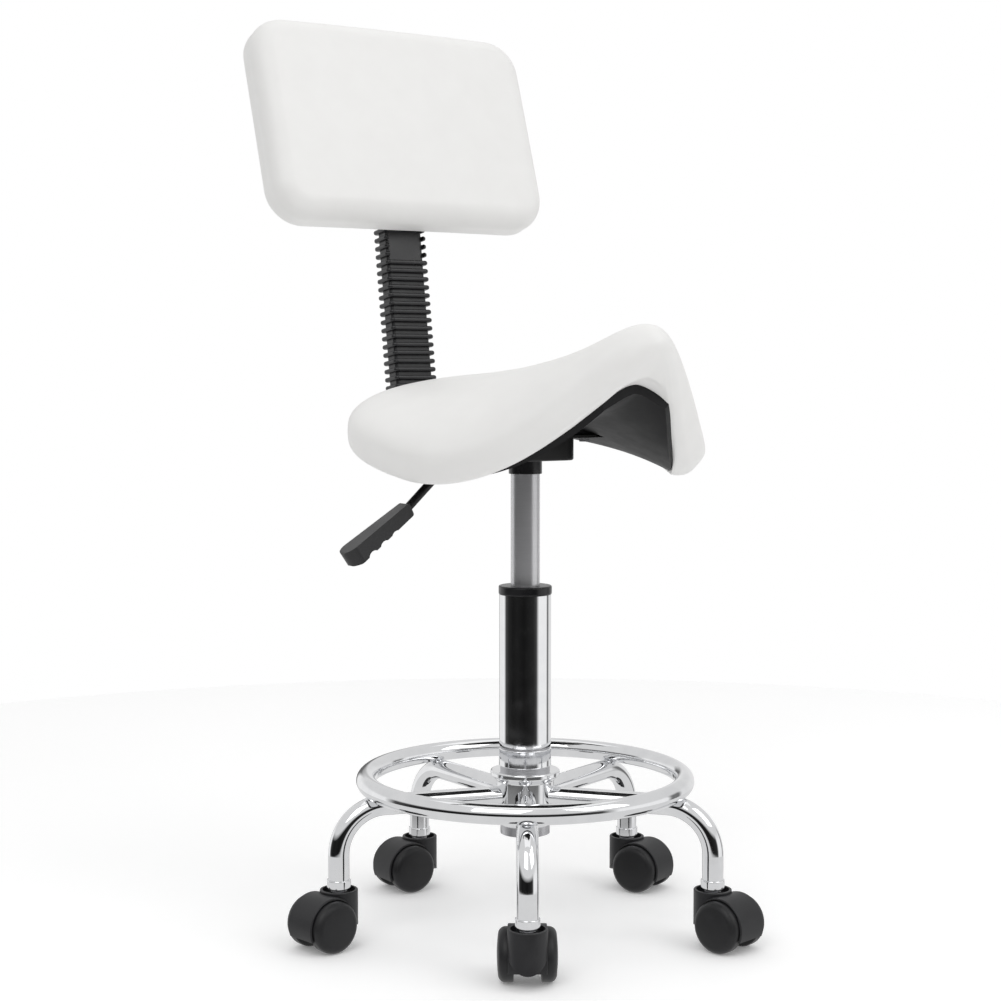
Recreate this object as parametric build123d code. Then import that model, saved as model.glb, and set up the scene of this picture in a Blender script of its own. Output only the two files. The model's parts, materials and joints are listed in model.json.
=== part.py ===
from build123d import *
import math
import os

# Pedicure stool with a saddle seat, a backrest on a J-shaped bar and a five-leg rolling base.
# Millimetres, +Z up. The floor is Z = 0 and the gas lift's axis is X = Y = 0.
# The sitter faces -Y, so the sitter's right hand is on the -X side.

# ---- base ----
RING_Z = 147.2
RING_R = 154.0
RING_TUBE_R = 9.5
RING_WALL = 1.8
LEG_COUNT = 5
LEG_R = 10.0
LEG_BORE_R = 8.0
LEG_Z = 131.0
LEG_REACH = 185.5
LEG_BEND_R = 45.0
LEG_END_Z = 55.0
BASE_TURN = -33.0

HUB_R = 28.0
HUB_BOTTOM_Z = 99.0
SHOULDER_R = 33.5
SHOULDER_Z = 156.0
TUBE_R = 24.0
TUBE_BORE_R = 22.5
TUBE_BOTTOM_Z = 97.0
TUBE_TOP_Z = 326.7
SLEEVE_R = 25.0
SLEEVE_BOTTOM_Z = 179.5
COLLAR_BOTTOM_Z = 160.2
COLLAR_TOP_Z = 177.6
BUSH_TOP_Z = 335.2
BUSH_FLANGE_R = 25.7
BUSH_BOTTOM_Z = 270.0

# ---- gas lift ----
CYLINDER_R = 14.0
CYLINDER_BORE_R = 12.0
CYLINDER_BOTTOM_Z = 205.0
CYLINDER_TOP_Z = 458.5
PLUG_BOTTOM_Z = 432.0
ROD_R = 5.0
ROD_SHOULDER_Z = 106.0
ROD_NECK_R = 4.0
ROD_TOP_Z = 250.0
RUNNING_GAP = 0.05
BUTTON_R = 3.4
BUTTON_TOP_Z = 462.6

# ---- seat mount ----
SOCKET_R = 16.0
SOCKET_BOTTOM_Z = 442.9
SOCKET_TOP_Z = 460.2
PAN_BOTTOM_Z = 456.0
PAN_TOP_Z = 481.0
STEEL = 2.5
PAN_X = 80.0
PAN_Y = 66.0
PAN_FLANGE_X = 100.0
PAN_FLANGE_Y = 116.0

# ---- release lever ----
LEVER_R = 4.0
LEVER_Z = 467.0
LEVER_BEND_X = -74.0
LEVER_END_X = -141.0
LEVER_END_Z = 405.6
HANDLE_START = (-130.0, 415.5)
HANDLE_TILT = 34.5
HANDLE_LENGTH = 80.0
HANDLE_WIDTH = 23.0

# ---- saddle seat: a pillow wrapped on one curved middle surface ----
# u is the distance in front of SADDLE_ORIGIN and w the distance from the centre line, both in 100 mm.
SADDLE_ORIGIN = 45.0
SADDLE_FRONT = 161.7
SADDLE_REAR = 210.0
SADDLE_WIDTH = (167.7, -86.9, -76.4, 101.6, -42.4)
SADDLE_END_POWER = 0.93
SADDLE_SIDE_POWER = 0.88
CREST_Z = 514.3
CREST = (11.0, 5.2, 0.1, 1.9, 1.3)
DROOP = (29.2, 25.3, 11.8, 3.6)
DROOP_POWER = 1.81
LIFT = (2.0, 0.9)
CUSHION_ABOVE = 33.5
CUSHION_BELOW = 16.0
EDGE_POWER = 3.5
BOARD_THICK = 8.0
BOARD_WIDTH_SHARE = 0.86
SOFT_GAP = 2.4

# ---- back support ----
BAR_WIDTH = 38.0
BAR_THICK = 6.0
BAR_Z = 473.0
BAR_FRONT_Y = 95.0
BRACKET_Y = 106.0
BRACKET_LENGTH = 54.0
KNOB_Y = 116.0
BAR_CORNER_Y = 208.5
BAR_CORNER_R = 28.0
BACK_Y = 242.0
BACK_Z = 700.0
BACK_RECLINE = 18.25
BAR_TOP_BEND_R = 60.0
BAR_TOP_LENGTH = 136.0
LOWER_LEAN = math.degrees(math.atan2(BACK_Y - BAR_CORNER_Y, BACK_Z - BAR_Z))
BOOT_WIDTH = 50.0
BOOT_THICK = 28.0
BOOT_CORE_WIDTH = 43.0
BOOT_CORE_THICK = 18.0
BOOT_START = 30.0
BOOT_PITCH = 8.7
BOOT_RIBS = 23
RIB_THICK = 4.6
PANEL_RIBS = 5
PANEL_WIDTH = 42.0

# ---- backrest, along (U), across (X) and out of (N) the upper bar ----
CUSHION_W = 322.0
CUSHION_H = 219.0
CUSHION_T = 44.0
CUSHION_U = 90.6
BOARD_N = 10.0
BACK_BOARD_W = 294.0
BACK_BOARD_H = 191.0
NOTCH_W = 64.0
NOTCH_H = 58.0
CARRIAGE_U = 93.0
CARRIAGE_H = 70.0
SLOT_DOWN = 36.0
SLOT_UP = 26.0
BOLT_R = 4.0

# ---- casters, with the stem at the origin and the wheels trailing along +X ----
CASTER_TRAIL = 20.0
WHEEL_R = 24.5
AXLE_Z = 24.5
WHEEL_INNER = 12.2
WHEEL_OUTER = 27.2
HOOD_R = 27.0
HOOD_CAVITY_R = 25.3
HOOD_HALF_WIDTH = 17.5
WEB_HALF_WIDTH = 6.0
STEM_HOUSING_R = 18.0
HOOD_TOP_Z = 53.6
AXLE_R = 3.0
STEM_R = 5.5
TRAIL_HEADINGS = (57.0, -77.0, -67.0, -179.0, -170.0)

PARTS = "parts"


def save(name, shape):
    export_step(shape, os.path.join(PARTS, name + ".step"))


def disc(radius, bottom, top, x=0.0, y=0.0):
    """Upright cylinder between two heights."""
    return Pos(x, y, (bottom + top) / 2) * Cylinder(radius, top - bottom)


def pipe(outer, inner, bottom, top, x=0.0, y=0.0):
    """Upright ring or tube between two heights."""
    return disc(outer, bottom, top, x, y) - disc(inner, bottom - 1, top + 1, x, y)


def slab(x_size, y_size, bottom, top, x=0.0, y=0.0):
    """Box between two heights."""
    return Pos(x, y, (bottom + top) / 2) * Box(x_size, y_size, top - bottom)


def turned(points, round_radius=0.0, round_from=0.0):
    """Solid turned about Z from (radius, height) points; corners beyond round_from are rounded."""
    face = make_face(Polyline(*[(r, z) for r, z in points], close=True))
    if round_radius > 0:
        corners = [v for v in face.vertices() if v.X > round_from]
        face = fillet(corners, round_radius)
    return revolve(Plane.XZ * face, Axis.Z)


def leg_direction(index):
    """Angle of a leg about Z, counted from the -Y direction."""
    return math.radians(BASE_TURN + index * 360.0 / LEG_COUNT)


def leg_place(index):
    """Turns the +X direction onto a leg's direction."""
    return Rot(0, 0, math.degrees(leg_direction(index)) - 90.0)


def stem_point(index):
    angle = leg_direction(index)
    return LEG_REACH * math.sin(angle), -LEG_REACH * math.cos(angle)


# ------------------------------------------------------------------ base

def leg_body(radius):
    """Solid leg of one radius along +X: a level run, a quarter bend and a drop to the caster."""
    corner_x = LEG_REACH - LEG_BEND_R
    run = Pos((18 + corner_x) / 2, 0, LEG_Z) * Rot(0, 90, 0) * Cylinder(radius, corner_x - 18)
    drop = disc(radius, LEG_END_Z, LEG_Z - LEG_BEND_R, LEG_REACH)
    ring = Pos(corner_x, 0, LEG_Z - LEG_BEND_R) * Rot(90, 0, 0) * Torus(LEG_BEND_R, radius)
    quarter = Box(120, 60, 120, align=(Align.MIN, Align.CENTER, Align.MIN))
    bend = ring & (Pos(corner_x, 0, LEG_Z - LEG_BEND_R) * quarter)
    return run + bend + drop


def make_base():
    hub_outline = [
        (0, HUB_BOTTOM_Z), (21, HUB_BOTTOM_Z), (HUB_R, HUB_BOTTOM_Z + 8), (HUB_R, SHOULDER_Z - 10),
        (SHOULDER_R, SHOULDER_Z - 5), (SHOULDER_R, SHOULDER_Z), (0, SHOULDER_Z),
    ]
    hub_solid = turned(hub_outline, 1.6, 5)
    bore = disc(TUBE_R, HUB_BOTTOM_Z - 5, SHOULDER_Z + 5)
    save("hub", hub_solid - bore)

    ring_outer = Pos(0, 0, RING_Z) * Torus(RING_R, RING_TUBE_R)
    ring_inner = Pos(0, 0, RING_Z) * Torus(RING_R, RING_TUBE_R - RING_WALL)
    vent_angle = leg_direction(0) + math.radians(36)
    vent = disc(2.0, RING_Z - 12, RING_Z, RING_R * math.sin(vent_angle), -RING_R * math.cos(vent_angle))
    save("foot_ring", ring_outer - ring_inner - vent)

    notch = Pos(0, 0, RING_Z) * Torus(RING_R, RING_TUBE_R + 0.05)
    leg = leg_body(LEG_R) - leg_body(LEG_BORE_R)
    for index in range(LEG_COUNT):
        placed = leg_place(index) * leg
        save(f"leg_{index + 1}", placed - hub_solid - bore - notch)

    collars = []
    sockets = []
    stems = []
    for index in range(LEG_COUNT):
        x, y = stem_point(index)
        collar = pipe(11.3, LEG_R, LEG_END_Z - 1.0, 63.0)
        collar = collar - disc(LEG_R + 5, LEG_END_Z - 3, LEG_END_Z - 1.0)
        collar = fillet(collar.edges().filter_by(GeomType.CIRCLE).sort_by(SortBy.RADIUS)[-2:], 0.9)
        collars.append(Pos(x, y, 0) * collar)
        socket = pipe(LEG_BORE_R - 0.03, STEM_R + 0.01, LEG_END_Z, 84.0)
        sockets.append(Pos(x, y, 0) * socket)
        stem = disc(STEM_R, 51.6, 83.0) + disc(7.6, 48.95, 51.6) + disc(4.0, 26.0, 48.95)
        stems.append(Pos(x, y, 0) * chamfer(stem.edges().filter_by(GeomType.CIRCLE).sort_by(Axis.Z)[-1], 1.0))
    save("leg_end_collars", Compound(children=collars))
    save("leg_sockets", Compound(children=sockets))
    save("caster_stems", Compound(children=stems))

    save("outer_tube", pipe(TUBE_R, TUBE_BORE_R, TUBE_BOTTOM_Z, TUBE_TOP_Z))
    save("cover_sleeve", pipe(SLEEVE_R, TUBE_R, SLEEVE_BOTTOM_Z, TUBE_TOP_Z))
    collar = pipe(SLEEVE_R + 0.3, TUBE_R, COLLAR_BOTTOM_Z, COLLAR_TOP_Z)
    outer_rims = collar.edges().filter_by(GeomType.CIRCLE).group_by(SortBy.RADIUS)[-1]
    save("lower_collar", fillet(outer_rims, 0.9))

    flange = pipe(BUSH_FLANGE_R, CYLINDER_R + RUNNING_GAP, TUBE_TOP_Z, BUSH_TOP_Z)
    flange = fillet(flange.edges().filter_by(GeomType.CIRCLE).group_by(SortBy.RADIUS)[-1], 1.5)
    guide = pipe(TUBE_BORE_R, CYLINDER_R + RUNNING_GAP, BUSH_BOTTOM_Z, TUBE_TOP_Z)
    save("guide_bush", flange + guide)

    neck_bore = ROD_NECK_R + RUNNING_GAP
    cap = pipe(TUBE_R, neck_bore, TUBE_BOTTOM_Z - 3, TUBE_BOTTOM_Z)
    cap = cap + pipe(TUBE_BORE_R, neck_bore, TUBE_BOTTOM_Z, TUBE_BOTTOM_Z + 3)
    save("base_cap", cap)

    lower_race = pipe(11.0, neck_bore, 100.0, 101.5)
    upper_race = pipe(11.0, neck_bore, 104.45, ROD_SHOULDER_Z - RUNNING_GAP)
    balls = [
        Rot(0, 0, 45 * k) * Pos(8.0, 0, 102.975) * Sphere(1.475)
        for k in range(8)
    ]
    save("thrust_bearing", Compound(children=[lower_race, upper_race] + balls))


# ------------------------------------------------------------------ gas lift

def make_gas_lift():
    rod = disc(ROD_R, ROD_SHOULDER_Z, ROD_TOP_Z) + disc(ROD_NECK_R, 89.0, ROD_SHOULDER_Z)
    rod = rod + disc(3.0, ROD_TOP_Z, ROD_TOP_Z + 9)
    groove = pipe(6.0, 3.4, 91.4, 93.0)
    save("piston_rod", rod - groove)
    save("rod_clip", pipe(7.5, 3.4, 91.4, 93.0) - slab(8, 4.8, 91, 94, x=7))
    piston = pipe(CYLINDER_BORE_R - 0.1, 3.0, ROD_TOP_Z, ROD_TOP_Z + 9)
    save("piston", piston)

    cylinder = disc(CYLINDER_R, CYLINDER_BOTTOM_Z, CYLINDER_TOP_Z)
    cylinder = cylinder - disc(CYLINDER_BORE_R, CYLINDER_BOTTOM_Z - 1, PLUG_BOTTOM_Z)
    cylinder = cylinder - disc(BUTTON_R + RUNNING_GAP, PLUG_BOTTOM_Z - 1, CYLINDER_TOP_Z + 1)
    save("gas_cylinder", cylinder)
    save("cylinder_end_bush", pipe(CYLINDER_BORE_R, ROD_R + RUNNING_GAP, CYLINDER_BOTTOM_Z, CYLINDER_BOTTOM_Z + 12))
    button = disc(BUTTON_R, 440.0, BUTTON_TOP_Z)
    save("release_button", chamfer(button.edges().sort_by(Axis.Z)[-1], 0.6))


# ------------------------------------------------------------------ saddle seat

def crest_height(u):
    return CREST_Z + sum(c * u ** (k + 1) for k, c in enumerate(CREST))


def middle_height(s, x):
    """Height of the seat's middle surface, s in front of the lift and x off the centre line."""
    u = (s - SADDLE_ORIGIN) / 100.0
    w = abs(x) / 100.0
    droop = sum(c * u ** k for k, c in enumerate(DROOP)) * w ** DROOP_POWER
    lift = (LIFT[0] + LIFT[1] * u) * w ** 4
    return crest_height(u) - droop + lift


def saddle_station(turn_degrees):
    """Distance in front of the lift and half width at one turn round the plan outline."""
    c = math.cos(math.radians(turn_degrees))
    reach = SADDLE_FRONT if c > 0 else SADDLE_REAR
    s = SADDLE_ORIGIN + reach * math.copysign(abs(c) ** SADDLE_END_POWER, c)
    half = abs(math.sin(math.radians(turn_degrees))) ** SADDLE_SIDE_POWER
    return s, half * sum(k * c ** n for n, k in enumerate(SADDLE_WIDTH))


def offset_point(s, x, distance):
    """Point at a distance from the middle surface, square to it in the cross-section."""
    step = 0.5
    slope = (middle_height(s, x + step) - middle_height(s, x - step)) / (2 * step)
    length = math.hypot(1.0, slope)
    return Vector(x - distance * slope / length, -s, middle_height(s, x) + distance / length)


def end_factor(s):
    """Thinning towards the front and rear ends."""
    reach = SADDLE_FRONT if s > SADDLE_ORIGIN else SADDLE_REAR
    share = min(abs(s - SADDLE_ORIGIN) / reach, 0.985)
    return (1 - share ** EDGE_POWER) ** (1 / EDGE_POWER)


def edge_factor(v):
    return (1 - min(abs(v), 0.999) ** EDGE_POWER) ** (1 / EDGE_POWER)


def cushion_section(turn_degrees):
    s, half = saddle_station(turn_degrees)
    above = CUSHION_ABOVE * end_factor(s)
    below = CUSHION_BELOW * end_factor(s)
    shares = [math.sin(math.radians(a)) for a in range(-75, 76, 15)]
    top = [offset_point(s, v * half, above * edge_factor(v)) for v in shares]
    bottom = [offset_point(s, v * half, -below * edge_factor(v)) for v in reversed(shares)]
    left = offset_point(s, -half, 0)
    right = offset_point(s, half, 0)
    return Face(Wire([Spline(*([left] + top + [right] + bottom), periodic=True)]))


def board_section(turn_degrees, above=0.0, thick=BOARD_THICK):
    """Shell section under the cushion; above raises its upper side and thick sets its depth."""
    s, half = saddle_station(turn_degrees)
    half = half * BOARD_WIDTH_SHARE
    level = -(CUSHION_BELOW + SOFT_GAP)
    shares = [-1.0, -0.75, -0.5, -0.25, 0.0, 0.25, 0.5, 0.75, 1.0]
    top = [offset_point(s, v * half, level * edge_factor(v * BOARD_WIDTH_SHARE) + above) for v in shares]
    low = [offset_point(s, v * half, level * edge_factor(v * BOARD_WIDTH_SHARE) - thick) for v in shares]
    upper = Spline(*top)
    lower = Spline(*low)
    return Face(Wire([upper, Line(top[-1], low[-1]), lower, Line(low[0], top[0])]))


def make_seat():
    cushion = loft([cushion_section(a) for a in (17, 30, 42, 56, 72, 90, 108, 126, 142, 155, 165)])
    save("seat_cushion", cushion)

    stations = (38, 50, 63, 78, 95, 112, 130, 150)
    board = loft([board_section(a) for a in stations])
    over_board = loft([board_section(a, 120.0, 4.0) for a in stations])
    pan_land = slab(92, 108, PAN_TOP_Z, 560) - over_board
    pan_land = pan_land.solids().sort_by(Axis.Z)[0]
    bar_land = slab(76, 56, BAR_Z + 5, 560, y=BRACKET_Y) - over_board
    bar_land = bar_land.solids().sort_by(Axis.Z)[0]
    board = board + pan_land + bar_land
    board = board - slab(PAN_FLANGE_X + 2, PAN_FLANGE_Y + 2, 440, PAN_TOP_Z)
    bolts = []
    for x, y, head_bottom, top in bolt_places():
        shank = disc(3.0, head_bottom + 4, top, x, y)
        head = Pos(x, y, head_bottom + 2) * extrude(RegularPolygon(5.5, 6), 2, both=True)
        board = board - disc(3.0, head_bottom, top, x, y)
        bolts.append(shank + head)
    save("seat_board", board)
    save("seat_bolts", Compound(children=bolts))

    outer = extrude(Pos(0, 0, PAN_BOTTOM_Z) * RectangleRounded(PAN_X, PAN_Y, 14), PAN_TOP_Z - PAN_BOTTOM_Z)
    inner = extrude(
        Pos(0, 0, PAN_BOTTOM_Z + STEEL) * RectangleRounded(PAN_X - 2 * STEEL, PAN_Y - 2 * STEEL, 12), 30
    )
    outer = fillet(outer.edges().group_by(Axis.Z)[0], 2.0)
    flange = extrude(
        Pos(0, 0, PAN_TOP_Z - STEEL) * RectangleRounded(PAN_FLANGE_X, PAN_FLANGE_Y, 12), STEEL
    )
    pan = (outer + flange) - inner
    pan = pan - disc(SOCKET_R, PAN_BOTTOM_Z - 1, PAN_BOTTOM_Z + STEEL + 1)
    pan = pan - slab(8, 12, LEVER_Z - 6, LEVER_Z + 8, x=-PAN_X / 2)
    for x, y, head_bottom, top in bolt_places()[:4]:
        pan = pan - disc(3.0, head_bottom, top, x, y)
    save("seat_pan", pan)

    socket = pipe(SOCKET_R, CYLINDER_R, SOCKET_BOTTOM_Z, CYLINDER_TOP_Z)
    socket = socket + pipe(SOCKET_R, BUTTON_R + 5, CYLINDER_TOP_Z, SOCKET_TOP_Z)
    socket = fillet(socket.edges().filter_by(GeomType.CIRCLE).sort_by(Axis.Z)[:1], 0.6)
    save("seat_socket", socket)

    web_bottom = BAR_Z - BAR_THICK / 2 - 0.2 - STEEL
    half = BAR_WIDTH / 2 + 0.3
    top = BAR_Z + 5
    bracket = slab(2 * (half + STEEL), BRACKET_LENGTH, web_bottom, top, y=BRACKET_Y)
    bracket = bracket + slab(2 * (half + STEEL) + 32, BRACKET_LENGTH, top - STEEL, top, y=BRACKET_Y)
    bracket = bracket - slab(2 * half, BRACKET_LENGTH + 2, web_bottom + STEEL, top + 1, y=BRACKET_Y)
    bracket = bracket - disc(BOLT_R + RUNNING_GAP, web_bottom - 1, web_bottom + STEEL + 1, 0, KNOB_Y)
    for x, y, head_bottom, bolt_top in bolt_places()[4:]:
        bracket = bracket - disc(3.0, head_bottom, bolt_top, x, y)
    save("bar_bracket", bracket)

    knob_top = web_bottom - 2.0
    knob = star_knob(19.0, 3.2, 5, 17.0)
    knob = Pos(0, KNOB_Y, knob_top - 17.0) * knob
    save("depth_knob", knob + disc(BOLT_R, knob_top - 1, BAR_Z - BAR_THICK / 2 - 0.1, 0, KNOB_Y))


def bolt_places():
    """x, y, bottom of the head and top of the shank of each bolt under the seat."""
    pan_head = PAN_TOP_Z - STEEL - 4
    bar_head = BAR_Z + 5 - STEEL - 4
    places = [(sx * 36, sy * 47, pan_head, PAN_TOP_Z + 4) for sx in (-1, 1) for sy in (-1, 1)]
    places += [(sx * 30, BRACKET_Y + sy * 19, bar_head, BAR_Z + 10) for sx in (-1, 1) for sy in (-1, 1)]
    return places


def star_knob(radius, lobe_round, lobes, height):
    """Hand knob of given height standing on Z = 0, with round lobes and a waist between them."""
    knob = Pos(0, 0, height / 2) * Cylinder(radius, height)
    for k in range(lobes):
        angle = 2 * math.pi * (k + 0.5) / lobes
        reach = radius + 3.5
        knob = knob - disc(8.0, -1, height + 1, reach * math.cos(angle), reach * math.sin(angle))
    return fillet(knob.edges().group_by(Axis.Z)[0] + knob.edges().group_by(Axis.Z)[-1], min(lobe_round, 2.2))


# ------------------------------------------------------------------ release lever

def make_lever():
    path = FilletPolyline(
        (3, 0, LEVER_Z), (LEVER_BEND_X, 0, LEVER_Z), (LEVER_END_X, 0, LEVER_END_Z), radius=26
    )
    rod = sweep(Plane(origin=path @ 0, z_dir=path % 0) * Circle(LEVER_R), path=path)
    save("lever_rod", rod)

    length = HANDLE_LENGTH
    outline = [
        (0, 5.8), (length, 7.6), (length, -7.4), (length - 8, -9.4), (2, -6.6),
    ]
    blade = make_face(Polyline(*outline, close=True))
    blade = fillet(blade.vertices(), 2.4)
    for k in range(3):
        blade = blade - Pos(length - 22 - 15 * k, -12.9) * Circle(6.6)
    handle = extrude(Plane.XZ * blade, HANDLE_WIDTH / 2, both=True)
    end_r = HANDLE_WIDTH / 2
    paddle = make_face(Polyline(
        (-1, -7.4), (length - end_r, -end_r), (length - end_r, end_r), (-1, 7.4), close=True
    ))
    paddle = paddle + Pos(length - end_r, 0) * Circle(end_r)
    handle = handle & extrude(Pos(0, 0, -15) * paddle, 30)
    place = Pos(HANDLE_START[0], 0, HANDLE_START[1]) * Rot(0, 0, 180) * Rot(0, HANDLE_TILT, 0)
    save("lever_handle", place * handle - rod)


# ------------------------------------------------------------------ back support bar and boot

def lower_bar_plane():
    """Origin at the bar's lower corner, Z up along the leaning bar, Y towards the rear."""
    return Plane(
        origin=(0, BAR_CORNER_Y, BAR_Z),
        x_dir=(1, 0, 0),
        z_dir=(0, math.sin(math.radians(LOWER_LEAN)), math.cos(math.radians(LOWER_LEAN))),
    )


def back_plane():
    """Local X across, local Y up along the upper bar, local Z forward out of it."""
    t = math.radians(BACK_RECLINE)
    return Plane(origin=(0, BACK_Y, BACK_Z), x_dir=(1, 0, 0), z_dir=(0, -math.cos(t), math.sin(t)))


def make_back_bar():
    t = math.radians(BACK_RECLINE)
    top = (0, BACK_Y + BAR_TOP_LENGTH * math.sin(t), BACK_Z + BAR_TOP_LENGTH * math.cos(t))
    path = FilletPolyline(
        (0, BAR_FRONT_Y, BAR_Z), (0, BAR_CORNER_Y, BAR_Z), (0, BACK_Y, BACK_Z), top,
        radius=[BAR_CORNER_R, BAR_TOP_BEND_R],
    )
    section = Plane(origin=path @ 0, x_dir=(1, 0, 0), z_dir=path % 0) * Rectangle(BAR_WIDTH, BAR_THICK)
    bar = sweep(section, path=path)
    slot = SlotCenterToCenter(SLOT_UP + SLOT_DOWN, 2 * BOLT_R + 0.6)
    slot = Pos(0, CARRIAGE_U + (SLOT_UP - SLOT_DOWN) / 2, -10) * Rot(0, 0, 90) * slot
    bar = bar - back_plane() * extrude(slot, 20)
    save("back_bar", bar)

    length = BOOT_PITCH * BOOT_RIBS
    core = Pos(0, 0, BOOT_START) * extrude(RectangleRounded(BOOT_CORE_WIDTH, BOOT_CORE_THICK, 3), length + 2)
    rib = Pos(0, 0, -RIB_THICK / 2) * extrude(RectangleRounded(BOOT_WIDTH, BOOT_THICK, 4.5), RIB_THICK)
    rib = fillet(rib.edges().group_by(Axis.Z)[0] + rib.edges().group_by(Axis.Z)[-1], 2.0)
    cut_rib = rib - Pos(0, -BOOT_THICK / 2, 0) * Box(PANEL_WIDTH, BOOT_THICK - BOOT_CORE_THICK, 10)
    boot = core
    for k in range(BOOT_RIBS):
        piece = cut_rib if k >= BOOT_RIBS - PANEL_RIBS else rib
        boot = boot + Pos(0, 0, BOOT_START + BOOT_PITCH * (k + 0.5)) * piece
    cuff = Pos(0, 0, BOOT_START) * Box(BAR_WIDTH, BAR_THICK, 8, align=(Align.CENTER, Align.CENTER, Align.MIN))
    hollow = Pos(0, 0, BOOT_START + 8) * Box(
        BAR_WIDTH + 1.4, BAR_THICK + 5, length + 2 - 16, align=(Align.CENTER, Align.CENTER, Align.MIN)
    )
    boot = lower_bar_plane() * (boot - cuff - hollow) - bar
    save("bar_boot", boot)


# ------------------------------------------------------------------ backrest

def make_backrest():
    place = back_plane()
    at_cushion = Pos(0, CUSHION_U, BOARD_N)
    cushion = extrude(RectangleRounded(CUSHION_W, CUSHION_H, 38), CUSHION_T)
    cushion = fillet(cushion.edges().group_by(Axis.Z)[-1], 13.0)
    cushion = fillet(cushion.edges().group_by(Axis.Z)[0], 7.0)
    board = extrude(RectangleRounded(BACK_BOARD_W, BACK_BOARD_H, 26), 8.0)
    notch = Pos(0, -BACK_BOARD_H / 2 + NOTCH_H / 2 - 1, 4) * Box(NOTCH_W, NOTCH_H + 2, 20)
    channel = Pos(0, -CUSHION_H / 2 + 30, 4) * Box(NOTCH_W, 62, 8)
    cushion = cushion - board - channel
    board = board - notch
    screws = []
    for sx in (-1, 1):
        for sy in (-1, 1):
            x, u = sx * 41.0, sy * 24.0
            screw = disc(2.5, -STEEL, 6.0) + disc(4.6, -STEEL - 2.6, -STEEL)
            screw = Pos(x, u + CARRIAGE_U - CUSHION_U, 0) * screw
            board = board - screw
            screws.append(screw)
    save("back_board", place * at_cushion * board)
    save("back_cushion", place * at_cushion * cushion)
    save("back_screws", Compound(children=[place * at_cushion * s for s in screws]))

    web = BAR_THICK / 2 + 0.2
    rise = BOARD_N
    plate = slab(62, CARRIAGE_H, web, web + STEEL)
    plate = plate + slab(62 + 36, CARRIAGE_H, rise - STEEL, rise)
    plate = plate - slab(62 - 2 * STEEL, CARRIAGE_H + 2, web + STEEL, rise + 1)
    for side in (-1, 1):
        wall_x = side * (31 - STEEL / 2)
        plate = plate + slab(STEEL, CARRIAGE_H, web, rise, x=wall_x)
        lip_x = side * (BAR_WIDTH / 2 + 0.3 + STEEL / 2)
        plate = plate + slab(STEEL, CARRIAGE_H, -BAR_THICK / 2, web + STEEL, x=lip_x)
    plate = plate - disc(BOLT_R, -10, 20)
    for sx in (-1, 1):
        for sy in (-1, 1):
            plate = plate - disc(2.5, -10, 20, sx * 41.0, sy * 24.0)
    save("back_carriage", place * Pos(0, CARRIAGE_U, 0) * plate)

    head = Pos(0, 0, web + STEEL + 2.05) * extrude(RegularPolygon(7.5, 6), 2.05, both=True)
    bolt = head + disc(BOLT_R, -26.0, web + STEEL)
    save("carriage_bolt", place * Pos(0, CARRIAGE_U, 0) * bolt)

    knob = Pos(0, 0, -28.0) * star_knob(23.0, 2.2, 5, 20.0)
    washer = disc(11.0, -8.0, -BAR_THICK / 2 - 0.1)
    knob = knob + washer - disc(BOLT_R + RUNNING_GAP, -26.1, 0)
    save("height_knob", place * Pos(0, CARRIAGE_U, 0) * knob)


# ------------------------------------------------------------------ casters

def caster_hood():
    axle_line = Pos(CASTER_TRAIL, 0, AXLE_Z) * Rot(90, 0, 0)
    dome = axle_line * Cylinder(HOOD_R, 2 * HOOD_HALF_WIDTH)
    dome = fillet(dome.edges().filter_by(GeomType.CIRCLE), 1.2)
    dome = dome - slab(80, 80, -10, 14.0, x=CASTER_TRAIL)
    housing = disc(STEM_HOUSING_R, 16.0, HOOD_TOP_Z)
    tongue = make_face(
        Polyline((-STEM_HOUSING_R, 70), (-STEM_HOUSING_R, 34), (STEM_HOUSING_R, 34), (STEM_HOUSING_R, 70), close=True)
    ) + Pos(0, 34) * Circle(STEM_HOUSING_R)
    housing = housing & extrude(Plane.YZ * tongue, 40, both=True)
    rim = housing.edges().filter_by(GeomType.CIRCLE).group_by(Axis.Z)[-1]
    housing = fillet(rim, 0.8)
    wheel_room = HOOD_HALF_WIDTH - WEB_HALF_WIDTH + 10
    cavities = [
        Pos(CASTER_TRAIL, side * (WEB_HALF_WIDTH + wheel_room / 2), AXLE_Z) * Rot(90, 0, 0)
        * Cylinder(HOOD_CAVITY_R, wheel_room)
        for side in (-1, 1)
    ]
    hood = dome + housing
    for cavity in cavities:
        hood = hood - cavity
    boss = axle_line * Cylinder(8.0, 2 * (WHEEL_INNER - 0.4))
    hood = hood + boss - axle_line * Cylinder(AXLE_R, 60)
    hood = hood - disc(15.5, 48.6, 60)
    return hood - disc(4.0 + RUNNING_GAP, 25.5, 60)


def caster_wheel(side):
    bore = AXLE_R + RUNNING_GAP
    inner_side = Polyline(
        (bore, 22.5), (bore, WHEEL_INNER), (8.5, WHEEL_INNER), (9.5, WHEEL_INNER + 2.5),
        (19.5, WHEEL_INNER + 2.5), (21.0, WHEEL_INNER), (WHEEL_R - 0.9, WHEEL_INNER),
        (WHEEL_R, WHEEL_INNER + 0.9), (WHEEL_R, 19.0),
    )
    shoulder = ThreePointArc((WHEEL_R, 19.0), (22.6, 23.9), (17.5, 26.2))
    crown = Spline((17.5, 26.2), (9.0, 26.95), (1.5, WHEEL_OUTER))
    hub_end = Polyline((1.5, WHEEL_OUTER), (0, WHEEL_OUTER), (0, 22.5), (bore, 22.5))
    face = make_face(inner_side.edges() + [shoulder, crown] + hub_end.edges())
    wheel = revolve(Plane.XZ * face, Axis.Z)
    tilt = -90 if side > 0 else 90
    return Pos(CASTER_TRAIL, 0, AXLE_Z) * Rot(tilt, 0, 0) * wheel


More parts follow.
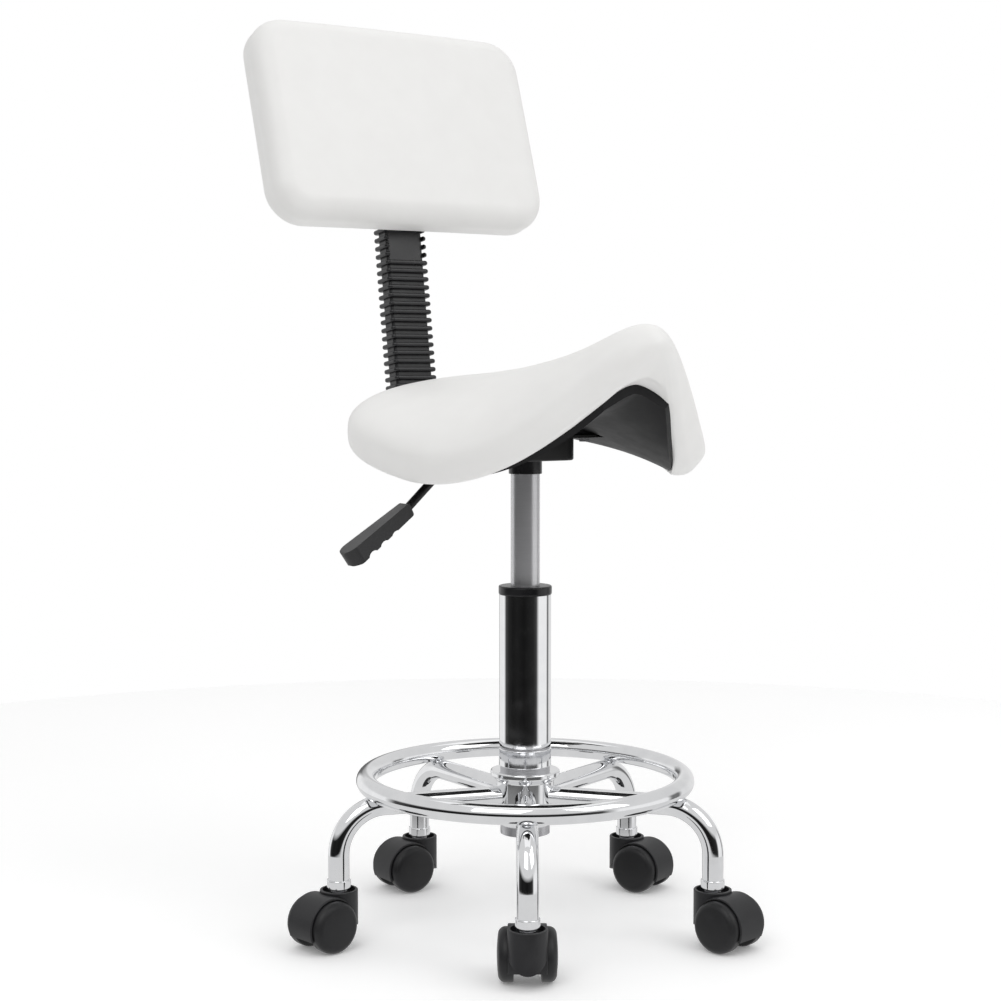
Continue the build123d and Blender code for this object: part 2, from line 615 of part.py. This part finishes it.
def make_casters():
    hood = caster_hood()
    axle = Pos(CASTER_TRAIL, 0, AXLE_Z) * Rot(90, 0, 0) * Cylinder(AXLE_R, 44)
    wheels = {"left": caster_wheel(1), "right": caster_wheel(-1)}
    for index in range(LEG_COUNT):
        x, y = stem_point(index)
        place = Pos(x, y, 0) * Rot(0, 0, TRAIL_HEADINGS[index])
        save(f"caster_hood_{index + 1}", place * hood)
        save(f"caster_axle_{index + 1}", place * axle)
        for name, wheel in wheels.items():
            save(f"wheel_{index + 1}_{name}", place * wheel)


os.makedirs(PARTS, exist_ok=True)
make_base()
make_gas_lift()
make_seat()
make_lever()
make_back_bar()
make_backrest()
make_casters()
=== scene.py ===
import json
import math
import bpy
import bmesh
from mathutils import Matrix, Vector


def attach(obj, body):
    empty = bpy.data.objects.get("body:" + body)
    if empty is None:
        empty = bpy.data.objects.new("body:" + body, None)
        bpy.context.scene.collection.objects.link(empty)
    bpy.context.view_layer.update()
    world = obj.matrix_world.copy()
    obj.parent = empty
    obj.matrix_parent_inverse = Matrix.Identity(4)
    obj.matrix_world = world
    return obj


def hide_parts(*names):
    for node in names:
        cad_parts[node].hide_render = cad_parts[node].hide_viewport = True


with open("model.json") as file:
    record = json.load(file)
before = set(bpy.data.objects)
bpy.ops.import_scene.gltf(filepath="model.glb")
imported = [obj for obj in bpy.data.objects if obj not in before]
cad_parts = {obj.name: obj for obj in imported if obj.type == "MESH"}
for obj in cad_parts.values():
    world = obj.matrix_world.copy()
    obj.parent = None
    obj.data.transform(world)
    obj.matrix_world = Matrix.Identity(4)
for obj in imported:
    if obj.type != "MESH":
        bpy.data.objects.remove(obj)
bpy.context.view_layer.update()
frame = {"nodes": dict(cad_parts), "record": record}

scene = bpy.context.scene
MM = 1000.0  # millimetres in a metre

# ------------------------------------------------------------------ node helpers


def new_material(name):
    """A material with an empty Principled shader, with its node tree and that shader."""
    material = bpy.data.materials.new(name)
    material.use_nodes = True
    tree = material.node_tree
    tree.nodes.clear()
    output = tree.nodes.new("ShaderNodeOutputMaterial")
    shader = tree.nodes.new("ShaderNodeBsdfPrincipled")
    tree.links.new(shader.outputs["BSDF"], output.inputs["Surface"])
    return material, tree, shader


def coords(tree, stretch=(1, 1, 1)):
    """Object coordinates in millimetres, stretched along each axis."""
    source = tree.nodes.new("ShaderNodeTexCoord")
    mapping = tree.nodes.new("ShaderNodeMapping")
    mapping.inputs["Scale"].default_value = [MM * k for k in stretch]
    tree.links.new(source.outputs["Object"], mapping.inputs["Vector"])
    return mapping.outputs["Vector"]


def ramp(tree, source, stops):
    """Colour by source, from stops of (position, colour) in rising order."""
    node = tree.nodes.new("ShaderNodeValToRGB")
    node.color_ramp.elements[0].position = stops[0][0]
    node.color_ramp.elements[0].color = (*stops[0][1], 1)
    node.color_ramp.elements[1].position = stops[-1][0]
    node.color_ramp.elements[1].color = (*stops[-1][1], 1)
    for place, colour in stops[1:-1]:
        node.color_ramp.elements.new(place).color = (*colour, 1)
    tree.links.new(source, node.inputs["Fac"])
    return node.outputs["Color"]


def grey(value):
    return (value, value, value)


def remap(tree, source, low, high, start=0.0, end=1.0):
    """A value that runs from low to high as source runs from start to end."""
    node = tree.nodes.new("ShaderNodeMapRange")
    node.inputs["From Min"].default_value = start
    node.inputs["From Max"].default_value = end
    node.inputs["To Min"].default_value = low
    node.inputs["To Max"].default_value = high
    tree.links.new(source, node.inputs["Value"])
    return node.outputs["Result"]


def noise(tree, vector, scale, detail=4.0, roughness=0.55):
    node = tree.nodes.new("ShaderNodeTexNoise")
    node.inputs["Scale"].default_value = scale
    node.inputs["Detail"].default_value = detail
    node.inputs["Roughness"].default_value = roughness
    tree.links.new(vector, node.inputs["Vector"])
    return node.outputs["Fac"]


def voronoi(tree, vector, scale, feature):
    node = tree.nodes.new("ShaderNodeTexVoronoi")
    node.feature = feature
    node.inputs["Scale"].default_value = scale
    tree.links.new(vector, node.inputs["Vector"])
    return node.outputs["Distance"]


def bump(tree, height, strength, distance, normal=None):
    """Bump of a depth in metres, on top of another bump's normal where one is given."""
    node = tree.nodes.new("ShaderNodeBump")
    node.inputs["Strength"].default_value = strength
    node.inputs["Distance"].default_value = distance
    tree.links.new(height, node.inputs["Height"])
    if normal is not None:
        tree.links.new(normal, node.inputs["Normal"])
    return node.outputs["Normal"]


# ------------------------------------------------------------------ materials


def white_leather():
    """Smooth white faux leather: grain about 1 mm across over a faint, broad unevenness."""
    material, tree, shader = new_material("white_faux_leather")
    at = coords(tree)
    pebbles = voronoi(tree, at, 0.95, "SMOOTH_F1")
    creases = voronoi(tree, at, 0.95, "DISTANCE_TO_EDGE")
    broad = noise(tree, at, 0.035, 3.0)
    fine = noise(tree, at, 2.6, 5.0)
    tone = ramp(tree, broad, [
        (0.3, (0.825, 0.82, 0.808)),
        (0.7, (0.842, 0.838, 0.826)),
    ])
    tree.links.new(tone, shader.inputs["Base Color"])
    tree.links.new(remap(tree, fine, 0.40, 0.54), shader.inputs["Roughness"])
    surface = bump(tree, broad, 0.10, 0.0012)
    surface = bump(tree, creases, 0.16, 0.00012, surface)
    surface = bump(tree, pebbles, 0.10, 0.00010, surface)
    tree.links.new(surface, shader.inputs["Normal"])
    shader.inputs["Specular IOR Level"].default_value = 0.42
    shader.inputs["Sheen Weight"].default_value = 0.05
    shader.inputs["Coat Weight"].default_value = 0.06
    shader.inputs["Coat Roughness"].default_value = 0.28
    return material


def chrome():
    """Bright plating with faint polishing haze and tiny waviness."""
    material, tree, shader = new_material("chrome_plate")
    at = coords(tree)
    haze = noise(tree, at, 0.06, 4.0)
    wave = noise(tree, at, 0.02, 2.0)
    tone = ramp(tree, haze, [
        (0.3, (0.80, 0.805, 0.82)),
        (0.7, (0.86, 0.865, 0.875)),
    ])
    tree.links.new(tone, shader.inputs["Base Color"])
    tree.links.new(remap(tree, haze, 0.035, 0.085, 0.3, 0.7), shader.inputs["Roughness"])
    tree.links.new(bump(tree, wave, 0.12, 0.0008), shader.inputs["Normal"])
    shader.inputs["Metallic"].default_value = 1.0
    return material


def turned_steel(name, tone, low, high, rings, metallic):
    """Ground steel, with fine marks round the part's vertical axis.

    low and high bound its roughness, and rings sets how close the marks are.
    """
    material, tree, shader = new_material(name)
    at = coords(tree, (0.04, 0.04, rings))
    marks = noise(tree, at, 1.0, 6.0, 0.7)
    patches = noise(tree, coords(tree), 0.03, 3.0)
    darker = tuple(0.86 * c for c in tone)
    tree.links.new(ramp(tree, marks, [(0.2, darker), (0.8, tone)]), shader.inputs["Base Color"])
    tree.links.new(remap(tree, patches, low, high, 0.3, 0.7), shader.inputs["Roughness"])
    tree.links.new(bump(tree, marks, 0.04, 0.00003), shader.inputs["Normal"])
    shader.inputs["Metallic"].default_value = metallic
    shader.inputs["Anisotropic"].default_value = 0.35
    return material


def moulded_plastic(name, tone, rough, grain, strength, specular):
    """Moulded black plastic with a fine mould texture and handling marks on its sheen."""
    material, tree, shader = new_material(name)
    at = coords(tree)
    texture = noise(tree, at, grain, 4.0, 0.6)
    smears = noise(tree, at, 0.045, 4.0)
    lighter = tuple(1.35 * c + 0.004 for c in tone)
    colour = ramp(tree, smears, [(0.3, tone), (0.75, lighter)])
    sheen = remap(tree, smears, rough - 0.06, rough + 0.08, 0.25, 0.75)
    tree.links.new(colour, shader.inputs["Base Color"])
    tree.links.new(sheen, shader.inputs["Roughness"])
    tree.links.new(bump(tree, texture, strength, 0.00012), shader.inputs["Normal"])
    shader.inputs["Specular IOR Level"].default_value = specular
    return material


def black_enamel():
    """Powder-coated steel with a light orange-peel surface."""
    material, tree, shader = new_material("black_powder_coat")
    at = coords(tree)
    peel = noise(tree, at, 0.55, 3.0, 0.5)
    dust = noise(tree, at, 0.05, 4.0)
    colour = ramp(tree, dust, [(0.3, grey(0.005)), (0.75, grey(0.010))])
    tree.links.new(colour, shader.inputs["Base Color"])
    tree.links.new(remap(tree, dust, 0.30, 0.42, 0.3, 0.7), shader.inputs["Roughness"])
    tree.links.new(bump(tree, peel, 0.18, 0.00025), shader.inputs["Normal"])
    shader.inputs["Specular IOR Level"].default_value = 0.35
    return material


def boot_rubber():
    """Black moulded rubber with a faint bloom."""
    material, tree, shader = new_material("boot_rubber")
    at = coords(tree)
    bloom = noise(tree, at, 0.06, 5.0)
    skin = noise(tree, at, 1.8, 3.0)
    colour = ramp(tree, bloom, [
        (0.3, (0.005, 0.005, 0.006)),
        (0.75, (0.010, 0.010, 0.012)),
    ])
    tree.links.new(colour, shader.inputs["Base Color"])
    tree.links.new(remap(tree, bloom, 0.27, 0.38, 0.3, 0.7), shader.inputs["Roughness"])
    tree.links.new(bump(tree, skin, 0.12, 0.00010), shader.inputs["Normal"])
    shader.inputs["Specular IOR Level"].default_value = 0.55
    return material


LEATHER = white_leather()
CHROME = chrome()
# name, tone, lowest and highest roughness, closeness of the marks, metallic
LIFT_STEEL = turned_steel("lift_steel", (0.66, 0.66, 0.675), 0.20, 0.27, 2.0, 0.62)
BARE_STEEL = turned_steel("zinc_steel", (0.58, 0.58, 0.60), 0.24, 0.36, 2.0, 0.9)
# name, tone, roughness, grain, depth of the grain, specular level
SHELL_PLASTIC = moulded_plastic(
    "shell_plastic", (0.0035, 0.0035, 0.004), 0.50, 1.2, 0.25, 0.25)
COLLAR_PLASTIC = moulded_plastic(
    "collar_plastic", (0.005, 0.005, 0.006), 0.28, 1.6, 0.10, 0.4)
HOOD_PLASTIC = moulded_plastic(
    "hood_plastic", (0.012, 0.012, 0.0135), 0.44, 1.1, 0.30, 0.38)
WHEEL_PLASTIC = moulded_plastic(
    "wheel_plastic", (0.009, 0.009, 0.010), 0.42, 1.4, 0.20, 0.35)
HANDLE_PLASTIC = moulded_plastic(
    "handle_plastic", (0.011, 0.011, 0.012), 0.34, 1.3, 0.22, 0.5)
ENAMEL = black_enamel()
RUBBER = boot_rubber()

# the finish of each of the record's material slots
FINISH = {
    "chrome": CHROME,
    "lift_steel": LIFT_STEEL,
    "bare_steel": BARE_STEEL,
    "tube_steel": BARE_STEEL,
    "black_metal": ENAMEL,
    "black_plastic": SHELL_PLASTIC,
    "handle_plastic": HANDLE_PLASTIC,
    "caster_plastic": HOOD_PLASTIC,
    "wheel_plastic": WHEEL_PLASTIC,
    "boot_rubber": RUBBER,
    "white_cover": LEATHER,
}
# nodes that are glossier than the rest of their slot
SPECIAL = {"guide_bush": COLLAR_PLASTIC, "seat_socket": COLLAR_PLASTIC}

for entry in frame["record"]["subparts"]:
    piece = frame["nodes"][entry["node"]]
    material = SPECIAL.get(entry["node"], FINISH[entry["material_slot"]])
    if not piece.material_slots:
        piece.data.materials.append(material)
    for material_slot in piece.material_slots:
        material_slot.material = material


# ------------------------------------------------------------------ mesh helpers


def mesh_object(name, points, faces, material):
    """A smooth-shaded object of these points, in metres, and faces."""
    mesh = bpy.data.meshes.new(name)
    mesh.from_pydata([tuple(p) for p in points], [], faces)
    mesh.validate()
    work = bmesh.new()
    work.from_mesh(mesh)
    bmesh.ops.remove_doubles(work, verts=work.verts, dist=1e-6)
    bmesh.ops.recalc_face_normals(work, faces=work.faces)
    work.to_mesh(mesh)
    work.free()
    for polygon in mesh.polygons:
        polygon.use_smooth = True
    mesh.materials.append(material)
    piece = bpy.data.objects.new(name, mesh)
    scene.collection.objects.link(piece)
    return piece


def ring_faces(rings, count):
    """Quads between closed rings that each hold count points, in order."""
    faces = []
    for k in range(rings - 1):
        low, high = k * count, (k + 1) * count
        for i in range(count):
            j = (i + 1) % count
            faces.append((low + i, low + j, high + j, high + i))
    return faces


def subdivide_once(piece):
    modifier = piece.modifiers.new("smooth", "SUBSURF")
    modifier.levels = modifier.render_levels = 1


# ------------------------------------------------------------------ saddle seat cushion
# In millimetres: s is in front of the gas lift, x off the centre line.

# the middle of the plan outline, and how far it reaches in front of that and behind
ORIGIN, FRONT, REAR = 45.0, 161.7, 210.0
# half width by powers of the cosine of the turn round the outline
HALF_WIDTH = (167.7, -86.9, -76.4, 101.6, -42.4)
# how square the outline is along the seat and across it
SQUARE_ALONG, SQUARE_ACROSS = 0.93, 0.88

PAD_TURNS = 176
# power of the rounded section from the crown to the edge
EDGE_POWER = 3.5
# places on that section, in degrees from the edge
EDGE_ANGLES = (4, 9, 15, 22, 30, 38, 46, 54, 61, 67, 72, 77, 81, 85, 88)
# more places underneath, where the lip meets the board, as shares of the outline
LIP_SHARES = (0.95, 0.93, 0.915, 0.90, 0.885, 0.875, 0.865, 0.855, 0.845, 0.83, 0.81, 0.79)
# thickness over the origin, and its growth for each 100 mm forwards
THICKNESS, THICKER = 67.0, 5.2
# the lip gets this much thinner between the two places along the seat
LIP_THINNER, LIP_FROM, LIP_TO = 0.34, 60.0, 165.0
# the recess for the board: its share of the half width, its reach and its depth
BOARD_SHARE, BOARD_FRONT, BOARD_REAR, BOARD_DEPTH = 0.86, 129.6, 183.7, 16.0
# the recess ends between these two shares of the board's outline
RECESS_FROM, RECESS_TO = 1.012, 1.05


def middle(s, x):
    """Height of the cushion's middle surface."""
    u = (s - ORIGIN) / 100.0
    w = abs(x) / 100.0
    crest = 514.3 + 11.0 * u + 5.2 * u ** 2 + 0.1 * u ** 3 + 1.9 * u ** 4 + 1.3 * u ** 5
    droop = (29.2 + 25.3 * u + 11.8 * u ** 2 + 3.6 * u ** 3) * w ** 1.81
    return crest - droop + (2.0 + 0.9 * u) * w ** 4


def surface_normal(s, x):
    e = 0.5
    ds = (middle(s + e, x) - middle(s - e, x)) / (2 * e)
    dx = (middle(s, x + e) - middle(s, x - e)) / (2 * e)
    return Vector((-dx, ds, 1.0)).normalized()


def half_width(sine, cosine):
    bulge = sum(k * cosine ** n for n, k in enumerate(HALF_WIDTH))
    return abs(sine) ** SQUARE_ACROSS * bulge


def rim(turn):
    """Point of the plan outline at a turn round the origin, from the front."""
    c = math.cos(turn)
    reach = FRONT if c > 0 else REAR
    s = ORIGIN + reach * math.copysign(abs(c) ** SQUARE_ALONG, c)
    return s, math.copysign(half_width(math.sin(turn), c), math.sin(turn))


def half_at(s):
    """Half width of the plan outline at a distance s in front of the lift."""
    reach = FRONT if s > ORIGIN else REAR
    along = min(abs(s - ORIGIN) / reach, 1.0)
    c = math.copysign(along ** (1 / SQUARE_ALONG), s - ORIGIN)
    return max(half_width(math.sin(math.acos(c)), c), 1.0)


def smooth_step(value, low, high):
    t = min(max((value - low) / (high - low), 0.0), 1.0)
    return t * t * (3 - 2 * t)


def seat_point(share, lift, turn):
    """Point at a share of the way out to the rim, lifted off the middle surface.

    lift is 1 at the crown, 0 at the edge and -1 underneath.
    """
    rim_s, rim_x = rim(turn)
    s = ORIGIN + share * (rim_s - ORIGIN)
    x = share * rim_x
    u = (s - ORIGIN) / 100.0
    drop = (THICKNESS + THICKER * u) / 2 * lift
    if lift < 0:
        inside = max(
            abs(x) / (BOARD_SHARE * half_at(s)),
            (s - ORIGIN) / BOARD_FRONT,
            (ORIGIN - s) / BOARD_REAR,
        )
        recess = 1 - smooth_step(inside, RECESS_FROM, RECESS_TO)
        drop *= 1 - LIP_THINNER * smooth_step(s, LIP_FROM, LIP_TO)
        drop = drop * (1 - recess) + max(-BOARD_DEPTH, drop) * recess
    point = Vector((x, -s, middle(s, x))) + surface_normal(s, x) * drop
    return point / MM


def edge_section(angle):
    """Share and lift of the section at an angle from the crown."""
    return math.sin(angle) ** (2 / EDGE_POWER), math.cos(angle) ** (2 / EDGE_POWER)


def seat_profile():
    """Shares and lifts from the crown, out to the edge and back underneath."""
    angles = [math.pi / 2 - math.radians(a) for a in EDGE_ANGLES]
    upper = [edge_section(a) for a in reversed(angles)]
    lower = [(share, -lift) for share, lift in map(edge_section, angles)]
    for share in LIP_SHARES:
        lower.append((share, -(1 - share ** EDGE_POWER) ** (1 / EDGE_POWER)))
    lower.sort(key=lambda place: -place[0])
    return upper + [(1.0, 0.0)] + lower


def make_seat_pad():
    profile = seat_profile()
    turns = [2 * math.pi * (i + 0.5) / PAD_TURNS for i in range(PAD_TURNS)]
    points = [seat_point(share, lift, turn) for share, lift in profile for turn in turns]
    faces = ring_faces(len(profile), PAD_TURNS)
    top, low = len(points), len(points) + 1
    points.append(seat_point(1e-4, 1.0, 0.0))
    points.append(seat_point(1e-4, -1.0, 0.0))
    last_ring = (len(profile) - 1) * PAD_TURNS
    for i in range(PAD_TURNS):
        j = (i + 1) % PAD_TURNS
        faces.append((top, j, i))
        faces.append((low, last_ring + i, last_ring + j))
    return mesh_object("seat_pad", points, faces, LEATHER)


seat_pad = make_seat_pad()
subdivide_once(seat_pad)
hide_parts("seat_cushion")
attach(seat_pad, "seat")

# ------------------------------------------------------------------ backrest cushion
# In millimetres, in a local frame: x across, y up the bar, z out of it towards the sitter.

RECLINE = math.radians(18.25)
BACK_FRAME = Matrix((
    (1, 0, 0, 0.0),
    (0, math.sin(RECLINE), -math.cos(RECLINE), 0.242),
    (0, math.cos(RECLINE), math.sin(RECLINE), 0.700),
    (0, 0, 0, 1),
))
BACK_WIDTH, BACK_HEIGHT, BACK_CORNER = 322.0, 219.0, 38.0
BACK_MIDDLE = 90.6  # how far up the bar the pad's middle is
BACK_Z, FRONT_Z = 9.0, 54.5  # the pad's back and its face
FRONT_ROUND, BACK_ROUND = 21.0, 10.0
FACE_CROWN = 4.5
FACE_INSET = 30  # where the face's own rings start
SIDE_INSET = 0.4  # the sides stand in by this, below the rounded front edge
CORNER_POINTS, LONG_SIDE_POINTS, SHORT_SIDE_POINTS = 14, 18, 12
# the back's rolled edge and the recess for the board: inset, height above the back
BACK_LIP = (
    (12.2, 0.0), (13.0, 0.4), (13.4, 1.6), (13.5, 5.0), (13.6, 9.6), (14.6, 10.2), (17.0, 10.3),
)
RECESS_HEIGHT = 10.3


def rounded_ring(inset):
    """Closed rounded rectangle, inset from the pad's outline."""
    a, b = BACK_WIDTH / 2 - inset, BACK_HEIGHT / 2 - inset
    r = max(BACK_CORNER - inset, 5.0)
    centres = ((a - r, b - r), (-a + r, b - r), (-a + r, -b + r), (a - r, -b + r))
    side_ends = ((-a + r, b), (-a, -b + r), (a - r, -b), (a, b - r))
    ring = []
    for k, (cx, cy) in enumerate(centres):
        for i in range(CORNER_POINTS):
            t = math.radians(90 * k + 90 * i / (CORNER_POINTS - 1))
            ring.append((cx + r * math.cos(t), cy + r * math.sin(t)))
        x0, y0 = ring[-1]
        x1, y1 = side_ends[k]
        steps = SHORT_SIDE_POINTS if k % 2 else LONG_SIDE_POINTS
        for i in range(1, steps):
            ring.append((x0 + (x1 - x0) * i / steps, y0 + (y1 - y0) * i / steps))
    return ring


def back_rings():
    """Rings from the middle of the face, over the front edge and round to the back."""
    face = rounded_ring(FACE_INSET)
    rings = []

    def level(inset, z):
        rings.append([(x, y, z) for x, y in rounded_ring(inset)])

    for f in (0.12, 0.28, 0.44, 0.60, 0.74, 0.86, 1.0):
        z = FRONT_Z + FACE_CROWN * 0.35 * (1 - f * f)
        rings.append([(x * f, y * f, z) for x, y in face])
    for k in range(13):
        a = math.pi / 2 * k / 12
        level(FRONT_ROUND * (1 - math.sin(a)), FRONT_Z - FRONT_ROUND * (1 - math.cos(a)))
    for z in (30.0, 26.0, 22.0):
        level(SIDE_INSET, z)
    for k in range(7):
        a = math.pi / 2 * k / 6
        level(SIDE_INSET + BACK_ROUND * (1 - math.cos(a)),
              BACK_Z + BACK_ROUND - BACK_ROUND * math.sin(a))
    for inset, height in BACK_LIP:
        level(inset, BACK_Z + height)
    for f in (0.95, 0.7, 0.4, 0.12):
        rings.append([(x * f, y * f, BACK_Z + RECESS_HEIGHT) for x, y in face])
    return rings


def back_point(x, y, z):
    """The point with the pad's sides bowed back, the face more than the back."""
    bow = -4.5 * (abs(x) / 161.0) ** 2.6 - 1.5 * (abs(y) / 110.0) ** 3
    weight = min(max((z - BACK_Z) / (FRONT_Z - BACK_Z), 0.0), 1.0)
    return Vector((x, y + BACK_MIDDLE, z + bow * (0.35 + 0.65 * weight))) / MM


def make_back_pad():
    rings = back_rings()
    count = len(rings[0])
    points = [back_point(*p) for ring in rings for p in ring]
    faces = ring_faces(len(rings), count)
    faces.append(tuple(reversed(range(count))))
    faces.append(tuple((len(rings) - 1) * count + i for i in range(count)))
    pad = mesh_object("back_pad", points, faces, LEATHER)
    pad.data.transform(BACK_FRAME)
    pad.data.update()
    return pad


back_pad = make_back_pad()
subdivide_once(back_pad)
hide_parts("back_cushion")
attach(back_pad, "backrest")

# ------------------------------------------------------------------ floor, light, camera

FLOOR_RADIUS = 1.5
STUDIO_STRENGTH = 0.74
# the world's brightness round the object, by share of a turn from azimuth -180 degrees: dark
# behind the camera, from 140 through 180 to -72 degrees, with two narrow grey gaps beyond
AROUND = (
    (0.0, 0.015), (0.06, 0.02), (0.14, 0.012), (0.20, 0.02), (0.26, 0.03), (0.30, 0.08),
    (0.335, 1.3), (0.46, 1.3), (0.475, 0.25), (0.50, 0.25), (0.515, 1.1), (0.66, 1.1),
    (0.675, 0.2), (0.70, 0.2), (0.715, 1.2), (0.86, 1.3), (0.89, 0.10), (0.94, 0.03),
    (1.0, 0.015),
)
# 1 where the world is plain white, from straight down (0) through level (0.5) to straight up
PLAIN_BY_HEIGHT = ((0.0, 1.0), (0.375, 1.0), (0.395, 0.0), (0.56, 0.0), (0.64, 1.0), (1.0, 1.0))


def make_floor():
    """Pale floor, which the chrome doesn't mirror."""
    bpy.ops.mesh.primitive_circle_add(
        vertices=96, radius=FLOOR_RADIUS, fill_type="NGON", location=(0, 0, 0))
    floor = bpy.context.object
    floor.name = "studio_floor"
    floor.visible_glossy = False
    material, _, shader = new_material("pale_floor")
    shader.inputs["Base Color"].default_value = (0.95, 0.95, 0.95, 1)
    shader.inputs["Emission Color"].default_value = (1, 1, 1, 1)
    shader.inputs["Emission Strength"].default_value = 0.14
    shader.inputs["Roughness"].default_value = 0.7
    shader.inputs["Specular IOR Level"].default_value = 0.2
    floor.data.materials.append(material)


def make_world():
    """White studio: bright all round, with dark gaps between the softboxes for the chrome."""
    world = bpy.data.worlds.new("studio")
    scene.world = world
    world.use_nodes = True
    tree = world.node_tree
    tree.nodes.clear()
    output = tree.nodes.new("ShaderNodeOutputWorld")
    source = tree.nodes.new("ShaderNodeTexCoord")
    split = tree.nodes.new("ShaderNodeSeparateXYZ")
    tree.links.new(source.outputs["Generated"], split.inputs["Vector"])

    def math_node(operation, *values):
        node = tree.nodes.new("ShaderNodeMath")
        node.operation = operation
        for k, value in enumerate(values):
            if isinstance(value, float):
                node.inputs[k].default_value = value
            else:
                tree.links.new(value, node.inputs[k])
        return node.outputs[0]

    def grey_ramp(value, stops):
        return ramp(tree, value, [(place, grey(level)) for place, level in stops])

    azimuth = math_node("ARCTAN2", split.outputs["Y"], split.outputs["X"])
    share = math_node("DIVIDE", math_node("ADD", azimuth, math.pi), 2 * math.pi)
    height = math_node("ADD", math_node("MULTIPLY", split.outputs["Z"], 0.5), 0.5)
    mix = tree.nodes.new("ShaderNodeMix")
    mix.data_type = "RGBA"
    tree.links.new(grey_ramp(height, PLAIN_BY_HEIGHT), mix.inputs["Factor"])
    tree.links.new(grey_ramp(share, AROUND), mix.inputs["A"])
    mix.inputs["B"].default_value = (1.0, 1.0, 1.0, 1)
    studio = tree.nodes.new("ShaderNodeBackground")
    tree.links.new(mix.outputs["Result"], studio.inputs["Color"])
    studio.inputs["Strength"].default_value = STUDIO_STRENGTH
    backdrop = tree.nodes.new("ShaderNodeBackground")
    backdrop.inputs["Color"].default_value = (1, 1, 1, 1)
    backdrop.inputs["Strength"].default_value = 1.0
    path = tree.nodes.new("ShaderNodeLightPath")
    choose = tree.nodes.new("ShaderNodeMixShader")
    tree.links.new(path.outputs["Is Camera Ray"], choose.inputs["Fac"])
    tree.links.new(studio.outputs["Background"], choose.inputs[1])
    tree.links.new(backdrop.outputs["Background"], choose.inputs[2])
    tree.links.new(choose.outputs["Shader"], output.inputs["Surface"])


def area_light(name, place, target, size, power):
    """Square softbox of a size in metres and a power in watts, facing its target."""
    light = bpy.data.lights.new(name, "AREA")
    light.shape = "RECTANGLE"
    light.size = light.size_y = size
    light.energy = power
    lamp = bpy.data.objects.new(name, light)
    lamp.location = place
    facing = Vector(target) - Vector(place)
    lamp.rotation_euler = facing.to_track_quat("-Z", "Y").to_euler()
    scene.collection.objects.link(lamp)


make_floor()
make_world()
area_light("key", (-1.9, -1.4, 2.5), (0, 0, 0.5), 1.8, 22)
area_light("fill", (1.0, -2.2, 2.3), (0, 0, 0.5), 1.8, 17.5)
area_light("top", (0.2, 0.3, 3.0), (0, 0, 0.4), 2.6, 7)

CAMERA_PLACE = (-1.0125, -1.5153, 0.542)
CAMERA_DIP, CAMERA_TURN = 3.924, -33  # degrees below level, and about the vertical
FOCAL_LENGTH, SENSOR_WIDTH = 68.36, 36.0  # millimetres

camera_data = bpy.data.cameras.new("camera")
camera = bpy.data.objects.new("camera", camera_data)
scene.collection.objects.link(camera)
camera.location = CAMERA_PLACE
camera.rotation_euler = (math.radians(90 - CAMERA_DIP), 0, math.radians(CAMERA_TURN))
camera_data.lens = FOCAL_LENGTH
camera_data.sensor_width = SENSOR_WIDTH
camera_data.clip_end = 200
scene.camera = camera
scene.view_settings.view_transform = "Standard"
